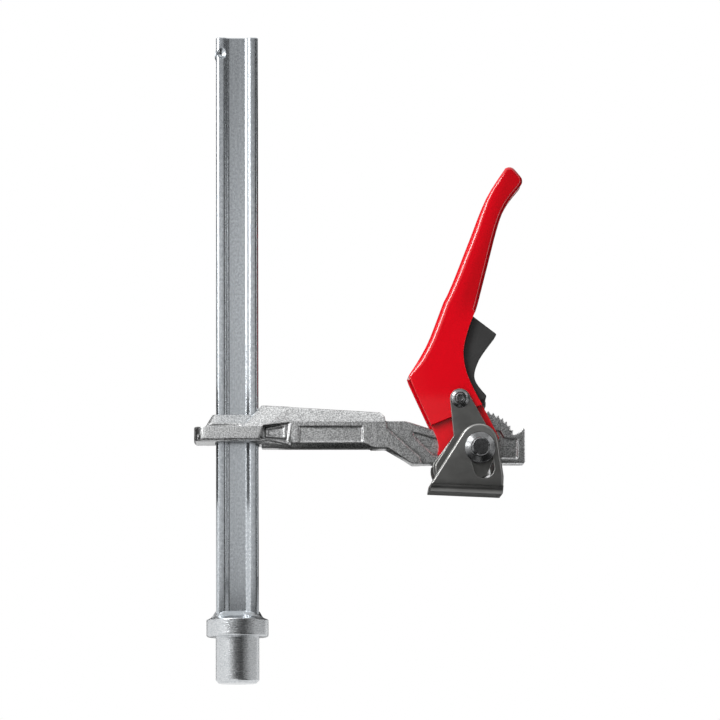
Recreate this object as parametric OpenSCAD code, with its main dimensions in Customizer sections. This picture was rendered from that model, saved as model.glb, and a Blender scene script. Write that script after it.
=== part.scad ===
// Lever clamp with a fixed reach and a round pin that drops into a hole of a welding table.
// Millimetres. The origin is the middle of the collar's underside, where the pin enters the table.
// +Z runs up the rail, +X runs out along the arm, and the front of the clamp looks towards -Y.

/* [Table bolt] */
// Diameter of the pin that enters the table's hole
pin_d = 28; // [20:0.5:36]
// Length of the pin below the collar
pin_l = 30; // [16:1:60]
// Chamfer at the pin's lower end
pin_chamfer = 2; // [0.5:0.25:4]
// Diameter of the collar that rests on the table
collar_d = 40; // [34:0.5:56]
// Height of the collar's straight wall
collar_h = 11; // [7:0.5:20]
// Height of the cone above the collar
cone_h = 1.5; // [0.5:0.25:6]
// Diameter of the cone's flat top
cone_top_d = 33; // [31:0.5:38]
// Depth of the socket that holds the rail's foot
socket_depth = 9; // [4:0.5:14]
// Leg length of the weld along each wide face of the rail
weld_leg = 3.6; // [1:0.2:5]
// Length of the welds on the wide faces
weld_l = 20; // [8:1:22]
// Leg length of the weld along each narrow edge of the rail
edge_weld_leg = 2.4; // [1:0.2:2.6]
// Length of the welds on the narrow edges
edge_weld_l = 8; // [4:0.5:11]

/* [Rail] */
// Width of the rail, seen from the front
rail_w = 27.5; // [24:0.5:29]
// Thickness of the rail, front to back
rail_t = 13; // [10:0.5:16]
// Free length of the rail above the bolt
rail_l = 380; // [280:0.5:600]
// Radius of the rail's long edges
rail_edge_r = 2.2; // [0.5:0.1:2.6]
// Width of the groove in each wide face, at the face
groove_mouth = 17.6; // [14:0.2:20]
// Width of the flat floor of the groove
groove_floor = 10; // [6:0.2:13]
// Depth of the groove
groove_depth = 2; // [0.5:0.1:3]
// Distance of the punched stop below the rail's top
stop_drop = 11; // [8:0.5:30]
// Distance of the punch mark's middle from the rail's edge
stop_in = 4; // [3.4:0.1:6]
// Diameter of the punch mark
stop_d = 6.6; // [4:0.2:8]
// Depth of the punch mark
stop_depth = 2.4; // [1:0.2:4]
// How far the punched metal stands out of the rail's edge
stop_bulge = 0.8; // [0.6:0.1:1.5]

/* [Sliding arm] */
// Height of the eye's underside above the table, as photographed
arm_z = 125.5; // [110:0.5:200]
// Distance from the rail's axis to the lever's pivot
reach = 156.5; // [150:0.5:220]
// Depth of the pivot below the eye's underside
pivot_drop = 4.5; // [0:0.5:8]
// Height of the eye
eye_h = 18.2; // [14:0.2:28]
// Height of the straight band round the eye's foot
eye_band = 9.5; // [6:0.5:12]
// Thickness of the eye, front to back
eye_t = 32; // [28:0.5:40]
// How far the eye reaches behind the rail's axis
eye_back = 28; // [25:0.5:36]
// Radius of the eye's upright corners
eye_r = 7; // [2:0.5:8]
// Radius of the eye's lower edges
eye_edge_r = 2.4; // [1:0.1:3]
// Play of the eye along the rail's width, each side
play_w = 0.5; // [0.3:0.05:0.7]
// Play of the eye along the rail's thickness, each side
play_t = 0.35; // [0.3:0.05:1]
// Thickness of the bar between eye and head
bar_t = 18; // [14:0.5:22]
// Width of the bar's flat top
bar_crest = 8; // [4:0.5:12]
// Height of the bar at the eye
bar_h_eye = 28; // [24:0.5:36]
// Height of the bar at the head
bar_h_head = 23.5; // [20:0.5:30]
// Thickness of the head that carries the lever
head_t = 13; // [10:0.5:16]
// Length of the head past the pivot
head_nose = 30; // [28:0.5:40]
// Height of metal from the pivot down to the head's underside
head_below = 9.6; // [9.4:0.2:16]
// Length of the bare label field in the bar's side
label_l = 41; // [20:1:46]
// Height of the bare label field
label_h = 10; // [4:0.5:12]
// Depth of the bare label field
label_depth = 0.8; // [0.3:0.1:1.2]
// Depth of the hollow beside the eye, below the bar's side
hollow_depth = 0.6; // [0.2:0.1:1.5]
// Length of the small bare plaque in the hollow
plaque_l = 13.2; // [8:0.2:13.4]
// Height of the plaque at its outer end
plaque_h = 9; // [5:0.2:9.4]
// Width of the plaque's raised rim
plaque_rim = 1.1; // [0.6:0.1:2]

/* [Ratchet] */
// Radius of the teeth's tips round the pivot
tooth_r = 26; // [24:0.1:26.4]
// Depth of the teeth
tooth_depth = 2.2; // [1:0.1:3]
// Number of teeth
tooth_n = 11; // [6:1:11]
// Angle from tooth to tooth
tooth_step = 7.75; // [6:0.25:8]
// Angle of the first tooth from upright, towards the rail
tooth_start = 18.5; // [10:0.5:20]

/* [Lever] */
// Length of the lever, from the pivot up to the tip
lever_l = 185; // [170:1:240]
// Width over the lever's side plates
lever_w = 25; // [23:0.5:32]
// Sheet thickness of the lever
lever_wall = 2.5; // [1.5:0.1:3]
// Height of the closed end at the lever's tip
cap_h = 7; // [3:0.5:10]
// Width of the lips rolled in along the front of the grip
lip_w = 6; // [4:0.5:8]
// Radius of the side plates round the pivot
plate_foot_r = 11.5; // [9:0.5:15]
// Distance of the joggle from the pivot
joggle_r = 27; // [25:0.5:28]
// Slope of the joggle line
joggle_tilt = 22; // [15:1:25]
// Distance from the pivot out towards the rail to the trigger's rivet
rivet_out = 12.5; // [10:0.5:14]
// Height of the trigger's rivet above the pivot
rivet_rise = 32.2; // [32:0.2:36]
// Diameter of the trigger's rivet
rivet_d = 6.5; // [5:0.5:8]
// Diameter of the washers under the rivet's ends
rivet_washer_d = 12; // [10:0.5:13]
// Thickness of the rivet's washers
rivet_washer_t = 1.5; // [1:0.1:2.5]
// How far the rivet's ends stand out of their washers
rivet_end = 2.4; // [1:0.2:4]

/* [Cam plates] */
// Thickness of each cam plate
cam_t = 3; // [2:0.25:4]
// Radius of the cam plate's end at the rivet
cam_rivet_r = 6.5; // [6.5:0.1:8]
// Radius of the cam plate round the pivot
cam_pivot_r = 11; // [9:0.5:13]
// Distance from the pivot out to the lobe's middle
lobe_out = 17.8; // [14:0.2:20]
// Depth of the lobe's middle below the pivot
lobe_drop = 12.7; // [10:0.1:13.5]
// Radius of the lobe
lobe_r = 12.6; // [10:0.1:13]
// Thickness of the cam's pressing land, next to the lever
cam_land = 1.3; // [0.8:0.1:1.4]
// Height of the relief beside the land, which clears the foot's bend
cam_relief = 1.8; // [1.6:0.1:3]
// Diameter of the spacers between lever and cam plates
spacer_d = 19; // [16:0.5:22]

/* [Pressure foot] */
// Sheet thickness of the foot
foot_t = 2.8; // [2:0.1:3.5]
// Length of the foot's pressing face
foot_l = 46.5; // [45:0.5:60]
// How much of that length lies beyond the pivot
foot_nose = 16; // [15:0.5:24]
// Radius of the ears round the slot's upper end
ear_r = 12.6; // [11.6:0.2:16]
// Outer radius of the bends along the foot
foot_bend_r = 5.6; // [4:0.1:5.8]
// Width of the slot in each ear
slot_w = 13.6; // [12.6:0.1:14]
// How far the slot runs on above the pivot, as photographed
slot_above = 3.2; // [0:0.1:4]
// How far the slot's lower end lies below the pivot
slot_below = 13.4; // [10:0.2:14]
// Lean of the slot from the upright of the foot, with its lower end towards the nose
slot_lean = 12.4; // [0:0.2:14]
// Tilt of the foot as photographed, with its outer end low
foot_tilt = 2.5; // [0:0.5:4]
// Diameter of the foot's pivot pin
pivot_d = 12; // [9:0.5:12]
// Diameter of the washers on the pivot pin
pivot_washer_d = 20; // [16:0.5:24]
// Thickness of the washers on the pivot pin
pivot_washer_t = 2.6; // [1.5:0.1:4]
// How far the pivot pin's ends stand out of their washers
pivot_end = 4; // [1:0.5:8]

/* [Trigger] */
// Width of the trigger's finger piece
trigger_w = 17; // [12:0.5:18]
// Radius of the trigger's hub
hub_r = 5.8; // [5:0.1:5.9]
// Thickness of the pawl
pawl_t = 6; // [4:0.5:7]
// Diameter of the pin that holds the pawl in the trigger
pawl_pin_d = 3; // [2:0.25:4]
// Wire diameter of the trigger's spring
wire_d = 0.8; // [0.5:0.1:0.9]
// Turns of the trigger's spring
spring_turns = 2; // [1:1:2]

/* [Hidden] */
$fn = 64;
// Flat gap between pieces that move past each other
side_gap = 0.3;
// Radial clearance of a pin that turns in its hole
run_gap = 0.05;
// Overshoot of a cutter past the face that it opens
over = 1;

// Heights and places that several pieces share
cone_top = collar_h + cone_h;
rail_foot = cone_top - socket_depth;
rail_top = cone_top + rail_l;
pivot = [reach, arm_z - pivot_drop];
rivet = [-rivet_out, rivet_rise];
hole_w = rail_w + 2 * play_w;
hole_t = rail_t + 2 * play_t;

// Layers from the middle plane outwards, in half thicknesses
head_y = head_t / 2;
inset_y = head_y + side_gap;
inset_out_y = inset_y + lever_wall;
lever_y = lever_w / 2;
lever_in_y = lever_y - lever_wall;
cam_out_y = lever_y + cam_t;
ear_y = cam_out_y + side_gap;
ear_out_y = ear_y + foot_t;
washer_y = ear_out_y + side_gap;
washer_out_y = washer_y + pivot_washer_t;

// Points on an arc, by angle from +X
function arc(c, r, a0, a1, n = 6) =
  [for (i = [0:n]) let (a = a0 + (a1 - a0) * i / n) c + r * [cos(a), sin(a)]];

// Point at radius r, at an angle from upright towards +X
function polar(r, a) = r * [sin(a), cos(a)];

// Smooth curve through a list of points, with n steps between each two
function between(p0, p1, p2, p3, t) =
  0.5 * (2 * p1 + (p2 - p0) * t + (2 * p0 - 5 * p1 + 4 * p2 - p3) * t * t
         + (3 * p1 - p0 - 3 * p2 + p3) * t * t * t);
function curve(p, n = 4) = concat(
  [for (i = [0:len(p) - 2], k = [0:n - 1])
    between(p[max(i - 1, 0)], p[i], p[i + 1], p[min(i + 2, len(p) - 1)], k / n)],
  [p[len(p) - 1]]);

// A line of points moved sideways by d, to the right of its direction
function beside(p, d) =
  [for (i = [0:len(p) - 1])
    let (v = p[min(i + 1, len(p) - 1)] - p[max(i - 1, 0)])
    p[i] + d * [v[1], -v[0]] / norm(v)];

function reversed(p) = [for (i = [len(p) - 1:-1:0]) p[i]];
// A line of points without its two ends
function inner(p) = [for (i = [1:len(p) - 2]) p[i]];

// Upright outline in the plane of the clamp, given thickness from y0 to y1
module plate(y0, y1) {
  translate([0, y1, 0])
    rotate([90, 0, 0])
      linear_extrude(y1 - y0)
        children();
}

// The same outline on both sides of the middle plane
module pair(y0, y1) {
  plate(y0, y1) children();
  plate(-y1, -y0) children();
}

// Round bar across the clamp
module cross_bar(d, y0, y1) {
  translate([0, y1, 0])
    rotate([90, 0, 0])
      cylinder(d = d, h = y1 - y0);
}

// Direction of the outer line that touches two discs, for an outline that runs anticlockwise
function touch(p, r, q, s) = atan2(q[1] - p[1], q[0] - p[0]) - acos((r - s) / norm(q - p));

// Places its children with the lever's pivot as their origin
module at_pivot() {
  translate([pivot[0], 0, pivot[1]]) children();
}

// Places its children with the trigger's rivet as their origin
module at_rivet() {
  at_pivot() translate([rivet[0], 0, rivet[1]]) children();
}

// Rail

// One wide side of the rail's section, from the right edge to the left
function rail_side() =
  let (
    a = rail_w / 2 - rail_edge_r,
    b = rail_t / 2 - rail_edge_r,
    wall = [for (i = [0:6])
      [groove_mouth / 2 - (groove_mouth - groove_floor) / 2 * i / 6,
       rail_t / 2 - groove_depth * (1 - cos(30 * i)) / 2]]
  )
  concat(
    arc([a, b], rail_edge_r, 0, 90, 5),
    wall,
    [for (p = reversed(wall)) [-p[0], p[1]]],
    arc([-a, b], rail_edge_r, 90, 180, 5)
  );

module rail_section() {
  side = rail_side();
  polygon(concat(side, -side));
}

// The stop is a cone punched into the front rim, and the metal that it pushes out of the edge
module rail() {
  bulge_r = stop_d / 2 + 1;
  color("silver")
    difference() {
      union() {
        translate([0, 0, rail_foot])
          linear_extrude(rail_top - rail_foot)
            rail_section();
        translate([bulge_r - rail_w / 2 - stop_bulge, 0, rail_top - stop_drop])
          cross_bar(2 * bulge_r, groove_depth - rail_t / 2, rail_t / 2 - groove_depth);
      }
      translate([stop_in - rail_w / 2, -rail_t / 2, rail_top - stop_drop])
        rotate([90, 0, 0])
          translate([0, 0, -stop_depth])
            cylinder(d1 = 0.4, d2 = stop_d * (stop_depth + over) / stop_depth, h = stop_depth + over);
    }
}

// Table bolt

module table_bolt() {
  edge = 0.8;
  r = pin_d / 2;
  c = collar_d / 2;
  color("silver")
    difference() {
      rotate_extrude()
        polygon([
          [0, -pin_l], [r - pin_chamfer, -pin_l], [r, pin_chamfer - pin_l], [r, 0], [c - edge, 0],
          [c, edge], [c, collar_h], [cone_top_d / 2, cone_top], [0, cone_top]
        ]);
      translate([0, 0, rail_foot])
        linear_extrude(socket_depth + over)
          square([rail_w + 2 * run_gap, rail_t + 2 * run_gap], center = true);
    }
}

// A weld is a quarter of a round bar in the corner between the rail and the bolt's top
module weld_bead(leg, length) {
  rotate([90, 0, 90])
    translate([0, 0, -length / 2])
      linear_extrude(length)
        intersection() {
          circle(leg);
          square(leg);
        }
}

module weld_beads() {
  color("darkgray")
    translate([0, 0, cone_top])
      for (a = [0, 180]) {
        rotate(a) translate([0, rail_t / 2, 0]) weld_bead(weld_leg, weld_l);
        rotate(a + 90) translate([0, rail_w / 2, 0]) weld_bead(edge_weld_leg, edge_weld_l);
      }
}

// Sliding arm

// Heights of the bar above the table
bar_floor = arm_z - 3.6;
bar_shelf = arm_z - 2;
bar_shoulder = arm_z + 13;
bar_start = rail_w / 2 + 2.3;
bar_end = reach - 64;

// Cross section of the bar, as [distance from the middle plane, height]
function bar_section() = [
  [bar_crest / 2, bar_floor + bar_h_eye], [bar_t / 2, bar_shoulder], [bar_t / 2, bar_shelf],
  [bar_t / 2 - 4, bar_floor]
];

module rounded_field(x0, x1, y, r) {
  translate([x0, r - y]) square([x1 - x0, 2 * (y - r)]);
  translate([x0 + r, -y]) square([x1 - x0 - 2 * r, 2 * y]);
  for (x = [x0 + r, x1 - r], s = [-1, 1])
    translate([x, s * (y - r)]) circle(r);
}

// The eye is a straight band under a roof that slopes in on three sides
module eye() {
  slope = eye_h - eye_band;
  half = eye_t / 2;
  inner = half - slope;
  front = rail_w / 2 + 6;
  r = eye_edge_r;
  translate([0, 0, arm_z])
    intersection() {
      linear_extrude(eye_band)
        rounded_field(-eye_back, front, half, eye_r);
      rotate([90, 0, 90])
        translate([0, 0, -eye_back])
          linear_extrude(eye_back + front)
            polygon(concat(
              arc([r - half, r], r, 180, 270, 4), arc([half - r, r], r, 270, 360, 4),
              [[half, eye_band], [-half, eye_band]]
            ));
      plate(-half, half)
        polygon(concat(arc([r - eye_back, r], r, 180, 270, 4), [[front, 0], [front, eye_band], [-eye_back, eye_band]]));
    }
  translate([0, 0, arm_z + eye_band])
    intersection() {
      rotate([90, 0, 90])
        translate([0, 0, -eye_back])
          linear_extrude(eye_back + front)
            polygon([[-half, 0], [half, 0], [inner, slope], [-inner, slope]]);
      plate(-half, half)
        polygon([[-rail_w / 2 - 7, 0], [front, 0], [front, slope], [-rail_w / 2 - 2.5, slope]]);
    }
}

// Shoulder that spreads the bar out to the eye's full thickness
module shoulder() {
  half = eye_t / 2;
  spread_end = bar_start + 18;
  hull()
    for (s = [-1, 1]) {
      for (x = [3, bar_start], q = [[half - eye_edge_r, 0.1], [half, eye_edge_r], [half, eye_band]])
        translate([x, s * q[0], arm_z + q[1]]) rotate([90, 0, s > 0 ? 0 : 180]) cylinder(d = 0.2, h = 0.2, $fn = 4);
      translate([bar_start, s * bar_crest / 2, bar_floor + bar_h_eye]) cube(0.2, center = true);
      for (p = bar_section())
        translate([spread_end, s * (p[0] - 0.1), p[1] - (p[1] > arm_z ? 0.9 : 0)]) cube(0.2, center = true);
    }
}

module bar() {
  section = bar_section();
  intersection() {
    plate(-bar_t / 2, bar_t / 2)
      polygon([
        [bar_start, bar_floor], [bar_end + 6, bar_floor], [bar_end + 3, bar_floor + bar_h_head - 3],
        [bar_end, bar_floor + bar_h_head], [bar_start, bar_floor + bar_h_eye]
      ]);
    rotate([90, 0, 90])
      linear_extrude(reach)
        polygon(concat(section, [for (p = reversed(section)) [-p[0], p[1]]]));
  }
  // Side plates that carry the bar down to the head, ending on a slanted edge
  at_pivot()
    plate(-bar_t / 2, bar_t / 2)
      polygon([
        [-72, bar_shelf - pivot[1]], [-72, bar_shoulder - pivot[1]], [-64.5, bar_shoulder - pivot[1]],
        [-38.5, -5.5], [-37.8, -head_below], [-43, -head_below], [-59, bar_floor - pivot[1]],
        [-68, bar_floor - pivot[1]]
      ]);
}

// Ratchet teeth: a steep flank holds the pawl, and a long flank lets it ride over
function teeth() = [
  for (i = [0:tooth_n - 1], k = [0, 1])
    let (a = i * tooth_step - tooth_start)
    k == 0 ? polar(tooth_r - tooth_depth, a) : polar(tooth_r, a + 1.6)
];

function last_tooth() = polar(tooth_r - tooth_depth, tooth_n * tooth_step - tooth_start);

module head_outline() {
  e = head_nose;
  polygon(concat(
    [[-70, 18.5], [-48, 18.5], [-44, 17.5], [-31, 13.3], [-16, 10]],
    teeth(),
    [last_tooth()],
    curve([[e - 6.8, 9.6], [e - 5.2, 10.2], [e - 2.6, 12], [e - 0.9, 14]], 3),
    [[e, 12.8], [e, 1.2 - head_below], [e - 1.2, -head_below], [-43, -head_below], [-60, 0.4], [-70, 0.4]]
  ));
}

// Shallow fields sunk into the head's sides, clear of the boss round the pivot
module head_fields() {
  difference() {
    polygon([[14, 12], [16.5, 7.6], [head_nose - 5, 6.8], [head_nose - 5, -6], [8, -6], [8, 12]]);
    circle(pivot_d / 2 + 4);
  }
  difference() {
    polygon([[-43, 11.5], [-29, 7.4], [-12, 4], [-12, -6], [-29, -4.3], [-41, 6.8]]);
    circle(pivot_d / 2 + 4);
  }
}

// Hollow in the shoulder's sides, down to the bar's side
module hollow_outline() {
  translate([bar_start, arm_z])
    polygon([[-2.1, 1.6], [16.6, -0.2], [17.9, 12.8], [0.4, 10.3]]);
}

// Plaque in the hollow, made smaller all round by d
module plaque_outline(d) {
  translate([bar_start + 2, arm_z + 2.3])
    polygon([
      [d, 1 + d], [plaque_l - d, d], [plaque_l - d, plaque_h - d], [d, plaque_h - 2 - d]
    ]);
}

module sliding_arm() {
  field_depth = 1.4;
  hollow_y = bar_t / 2 - hollow_depth;
  color("lightgray") {
    pair(hollow_y - over, hollow_y + 0.8)
      difference() { plaque_outline(0); plaque_outline(plaque_rim); }
    difference() {
      union() {
        eye();
        shoulder();
        bar();
        at_pivot() plate(-head_y, head_y) head_outline();
      }
      pair(hollow_y, eye_t) hollow_outline();
      translate([0, 0, arm_z - 20])
        linear_extrude(eye_h + 40)
          square([hole_w, hole_t], center = true);
      at_pivot() cross_bar(pivot_d + 2 * run_gap, -bar_t, bar_t);
      at_pivot() pair(head_y - field_depth, head_y + over) head_fields();
      pair(bar_t / 2 - label_depth, bar_t / 2 + over)
        translate([bar_start + 24, (bar_shelf + bar_shoulder - label_h) / 2])
          square([label_l, label_h]);
    }
  }
}

// Lever

// Height on the lever, stretched with its length above the trigger's zone
lip_z = 90;
function up(z) = z < lip_z ? z : lip_z + (z - lip_z) * (lever_l - lip_z) / (185 - lip_z);
function raised(p) = [for (q = p) [q[0], up(q[1])]];

// Back of the grip from the tip down to the step, and of the flank below it
grip_back = raised([[18.6, 184.2], [5.8, 164], [-4.7, 138], [-15, 112], [-20, 100.5]]);
flank_back = [[-22.3, 96.2], [-31.4, 72.5], [-38.1, 59.4], [-45.6, 47.5]];
// Front of the grip from the tip down to the end of the lips, and of the plates below it
grip_front = raised([[28, 172], [20.3, 162], [14.3, 149], [7.1, 122.7], [0.5, 97], [-1.6, lip_z]]);
plate_front = [[-2.9, 87.5], [-7, 76.3], [-9.8, 63.2], [-8, 50.2], [-2.6, 37.2], [4.4, 24.6], [13, 7.3]];
// Round tip from the end of the back to the start of the front
tip = curve(concat(
  [grip_back[0]],
  raised([[20.7, 185], [22.9, 184.7], [24.6, 183.4], [28.3, 179], [29.4, 177.2], [29.6, 175.2], [29.1, 173.6]]),
  [grip_front[0]]
), 3);

function lever_back() = concat(curve(grip_back), curve(flank_back));
function lever_front() = concat(curve(grip_front), curve(plate_front));
// Rear edges of the plates, and the round foot behind the pivot
function plate_foot() = concat(
  [[-44.8, 45], [-31.6, 16]],
  curve([[-28.2, 9], [-26.3, 2], [-27.2, -4]], 3),
  arc([0, 0], plate_foot_r, 240, 370, 10)
);

module lever_outline() {
  polygon(concat(reversed(lever_back()), inner(tip), lever_front(), reversed(plate_foot())));
}

// Half plane above the joggle line
module above_joggle(shift) {
  rotate(joggle_tilt)
    translate([-lever_l, joggle_r + shift])
      square([2 * lever_l, 2 * lever_l]);
}

module lever() {
  back = lever_back();
  front = concat([for (q = inner(tip)) if (q[0] > 26 && q[1] < lever_l - cap_h + 1) q], curve(grip_front));
  color("red")
    difference() {
      at_pivot() {
        pair(lever_in_y, lever_y)
          intersection() { lever_outline(); above_joggle(-lever_wall / 2); }
        pair(inset_y, inset_out_y)
          difference() { lever_outline(); above_joggle(lever_wall / 2); }
        pair(inset_y, lever_y)
          difference() {
            intersection() { lever_outline(); above_joggle(-lever_wall / 2); }
            above_joggle(lever_wall / 2);
          }
        plate(-lever_y, lever_y) polygon(concat(back, reversed(beside(back, -lever_wall))));
        plate(-lever_y, lever_y)
          intersection() { lever_outline(); translate([0, lever_l - cap_h]) square(lever_l); }
        pair(lever_y - lip_w, lever_y) polygon(concat(front, reversed(beside(front, lever_wall))));
      }
      at_pivot() cross_bar(pivot_d + 2 * run_gap, -lever_w, lever_w);
      at_rivet() cross_bar(rivet_d, -lever_w, lever_w);
    }
}

module rivet_washer(s) {
  color("dimgray")
    at_rivet()
      difference() {
        cross_bar(rivet_washer_d, s > 0 ? cam_out_y : -cam_out_y - rivet_washer_t,
                  s > 0 ? cam_out_y + rivet_washer_t : -cam_out_y);
        cross_bar(rivet_d, -lever_w, lever_w);
      }
}

module rivet_washer_front() { rivet_washer(-1); }
module rivet_washer_rear() { rivet_washer(1); }

// Straight pin across the clamp with chamfered ends
module chamfered_pin(d, half, chamfer) {
  rotate([90, 0, 0])
    rotate_extrude()
      polygon([
        [0, -half], [d / 2 - chamfer, -half], [d / 2, chamfer - half], [d / 2, half - chamfer],
        [d / 2 - chamfer, half], [0, half]
      ]);
}

module lever_rivet() {
  color("dimgray")
    at_rivet() chamfered_pin(rivet_d, cam_out_y + rivet_washer_t + rivet_end, 0.6);
}

// Cam plates

// The outline runs from the lobe round its heel, the pivot and the rivet, and back down the rear edge
module cam_outline(relief = 0) {
  lobe = [-lobe_out, -lobe_drop];
  lobe_rim = lobe_r - relief;
  heel = [-3, -11];
  heel_r = 9.5;
  waist = [-16.8, 8];
  hub = [0, 0];
  a = touch(lobe, lobe_rim, heel, heel_r);
  b = touch(heel, heel_r, hub, cam_pivot_r);
  c = touch(hub, cam_pivot_r, rivet, cam_rivet_r);
  polygon(concat(
    arc(lobe, lobe_rim, -190, a, 12), arc(heel, heel_r, a, b, 6), arc(hub, cam_pivot_r, b, c, 8),
    arc(rivet, cam_rivet_r, c, 182, 12), [waist]
  ));
}

module cam_plate() {
  color("gray")
    at_pivot()
      difference() {
        union() {
          plate(lever_y, lever_y + cam_land) cam_outline();
          plate(lever_y, cam_out_y) cam_outline(cam_relief);
        }
        cross_bar(pivot_d + 2 * run_gap, -lever_w, lever_w);
        translate([rivet[0], 0, rivet[1]]) cross_bar(rivet_d, -lever_w, lever_w);
      }
}

module cam_plate_front() { mirror([0, 1, 0]) cam_plate(); }
module cam_plate_rear() { cam_plate(); }

module spacer(y0) {
  color("gray")
    at_pivot()
      difference() {
        cross_bar(spacer_d, y0, y0 + lever_y - inset_out_y);
        cross_bar(pivot_d + 2 * run_gap, -lever_w, lever_w);
      }
}

module spacer_front() { spacer(-lever_y); }
module spacer_rear() { spacer(inset_out_y); }

// Pivot pin and its washers

module pivot_pin() {
  color("gray")
    at_pivot() chamfered_pin(pivot_d, washer_out_y + pivot_end, 0.8);
}

module pivot_washer(y0) {
  color("dimgray")
    at_pivot()
      difference() {
        cross_bar(pivot_washer_d, y0, y0 + pivot_washer_t);
        cross_bar(pivot_d, -lever_w, lever_w);
      }
}

module pivot_washer_front() { pivot_washer(-washer_out_y); }
module pivot_washer_rear() { pivot_washer(washer_y); }

// Pressure foot

// The foot's face lies just under the cam's lobe
foot_floor = lobe_drop + lobe_r + side_gap + lobe_out * sin(foot_tilt);
foot_base = foot_floor + foot_t;

// Ends of the slot, in the foot's own frame with the pivot as origin
slot_top = slot_above * [-sin(slot_lean), cos(slot_lean)];
slot_end = slot_below * [sin(slot_lean), -cos(slot_lean)];

// The ear's edges touch the disc round the slot's upper end
module ear_outline() {
  rear = [foot_nose - foot_l, foot_bend_r - foot_base];
  nose = [foot_nose, 2 * foot_bend_r - foot_base];
  right = touch(nose, 0, slot_top, ear_r);
  left = touch(slot_top, ear_r, rear, 0);
  polygon(concat(
    arc(slot_top, ear_r, right, left < right ? left + 360 : left, 16),
    [rear, rear - [1, foot_bend_r], [foot_nose, -foot_base], nose]
  ));
}

// Section of the folded sheet across the clamp, outer or inner face
module fold_section(half, r, floor_z) {
  translate([-half, floor_z + r]) square([2 * half, 2 * foot_base]);
  translate([r - half, floor_z]) square([2 * (half - r), 2 * r]);
  for (s = [-1, 1])
    translate([s * (half - r), floor_z + r]) circle(r);
}

module pressure_foot() {
  color("gray")
    at_pivot()
      rotate([0, foot_tilt, 0])
        difference() {
          intersection() {
            plate(-ear_out_y, ear_out_y) ear_outline();
            rotate([90, 0, 90])
              translate([0, 0, -2 * foot_l])
                linear_extrude(4 * foot_l)
                  difference() {
                    fold_section(ear_out_y, foot_bend_r, -foot_base);
                    fold_section(ear_y, foot_bend_r - foot_t, -foot_floor);
                  }
          }
          plate(-ear_out_y - over, ear_out_y + over)
            rotate(slot_lean)
              polygon(concat(
                arc([0, slot_above], slot_w / 2, 0, 180, 16), arc([0, -slot_below], slot_w / 2, 180, 360, 16)
              ));
        }
}

// Trigger and pawl

cheek_y = pawl_t / 2 + run_gap;
hub_y = lever_in_y - side_gap;
coil_gap = 0.45;
coil_pitch = wire_d + coil_gap;
coil_turns = spring_turns + 0.75;
spring_y = hub_y - coil_pitch * coil_turns - wire_d - side_gap;
pawl_pin_at = [-3, 34];

// Finger side of the trigger, hollowed for a finger, and its back inside the lever
finger = [[5.2, 34.9], [-1.2, 43], [-2.4, 50], [2.1, 61], [11.4, 73.8]];
trigger_back = [[-8.5, 87.5], [-11.5, 80], [-15, 62], [-18.6, 44]];

module trigger_outline() {
  polygon(concat(
    curve(finger), [[12.1, 75.2], [-3, 86.8], [-6, 88]], curve(trigger_back),
    [rivet - [hub_r, 0], rivet - [0, hub_r], [0, 28], [4, 29.6]]
  ));
  translate(rivet) circle(hub_r);
}

module trigger() {
  low = 41;
  color("black")
    difference() {
      at_pivot() {
        plate(-trigger_w / 2, trigger_w / 2) trigger_outline();
        plate(-hub_y, 0) translate(rivet) circle(hub_r);
      }
      at_pivot()
        pair(head_y, lever_w)
          difference() {
            translate([-lever_w, 0]) square(2 * lever_w);
            above_joggle(lever_wall / 2 + side_gap);
          }
      at_pivot() translate([-30, -cheek_y, 20]) cube([45, 2 * cheek_y, low - 20]);
      at_pivot() translate([-30, spring_y, 20]) cube([45, lever_w, low - 20]);
      at_rivet() cross_bar(rivet_d + 2 * run_gap, -lever_w, lever_w);
      at_pivot() translate([pawl_pin_at[0], 0, pawl_pin_at[1]]) cross_bar(pawl_pin_d, -lever_w, lever_w);
    }
}

// The pawl's nose rides just clear of the teeth's tips
module pawl() {
  nose_r = tooth_r + 0.5;
  color("dimgray")
    difference() {
      at_pivot()
        plate(-pawl_t / 2, pawl_t / 2)
          polygon(concat(
            arc(rivet, hub_r - 0.4, 70, 270, 12),
            [[-4.5, 28.5], polar(nose_r, 3), polar(nose_r + 0.6, 9), [4.9, 28.4], [5, 31], [2, 38]]
          ));
      at_rivet() cross_bar(rivet_d + 2 * run_gap, -lever_w, lever_w);
      at_pivot() translate([pawl_pin_at[0], 0, pawl_pin_at[1]]) cross_bar(pawl_pin_d, -lever_w, lever_w);
    }
}

module pawl_pin() {
  color("gray")
    at_pivot()
      translate([pawl_pin_at[0], 0, pawl_pin_at[1]])
        cross_bar(pawl_pin_d, -trigger_w / 2, spring_y);
}

// Trigger spring: two legs and a helix round the rivet, as one tube

coil_r = rivet_d / 2 + 1.8;
coil_y = spring_y + wire_d / 2 + side_gap;

function coil_point(t) =
  [coil_r * cos(180 - 360 * t), coil_y + coil_pitch * t, coil_r * sin(180 - 360 * t)];

// Centre line from the leg on the trigger's back, round the coil, to the leg in the lever's back
function spring_path() = concat(
  [[-coil_r - 3.4, coil_y, 17.5], [-coil_r - 1.6, coil_y, 9], [-coil_r - 0.2, coil_y, 3]],
  [for (i = [0:8 * spring_turns + 6]) coil_point(i / 8)],
  let (p = coil_point(coil_turns)) [[p[0] - 4, p[1], p[2] + 0.2], [-20, p[1], 9], [-26, p[1], 19.6]]
);

function unit(v) = v / norm(v);

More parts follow.
